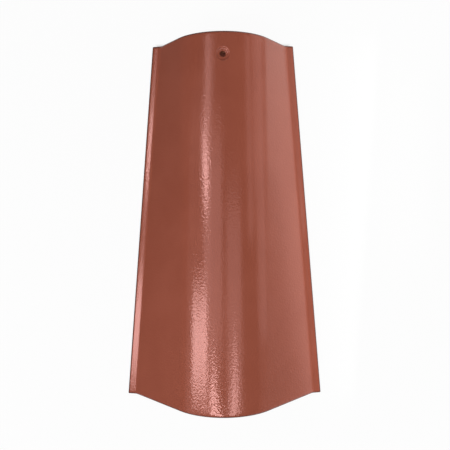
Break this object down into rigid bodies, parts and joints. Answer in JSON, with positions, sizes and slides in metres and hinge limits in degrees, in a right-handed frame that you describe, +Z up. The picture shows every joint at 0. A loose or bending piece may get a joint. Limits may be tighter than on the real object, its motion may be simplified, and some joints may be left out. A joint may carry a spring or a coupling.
{
  "type": "tapered clay ridge tile",
  "caption": "Tapered, arched ridge tile of glazed clay: round crown, straight flanks, a narrow flange along each foot and a nail hole near the narrow end.",
  "frame": {"origin": "middle of the footprint, on the plane of the two feet", "axes": "+Z up through the crown, +Y along the ridge towards the narrow end, +X to the right as seen from the wide end"},
  "size_m": [0.2218, 0.4, 0.0859],
  "materials": {
    "glazed_clay": "gloss"
  },
  "bodies": {
    "root": {"ridge_tile": "glazed_clay"}
  },
  "joints": []
}
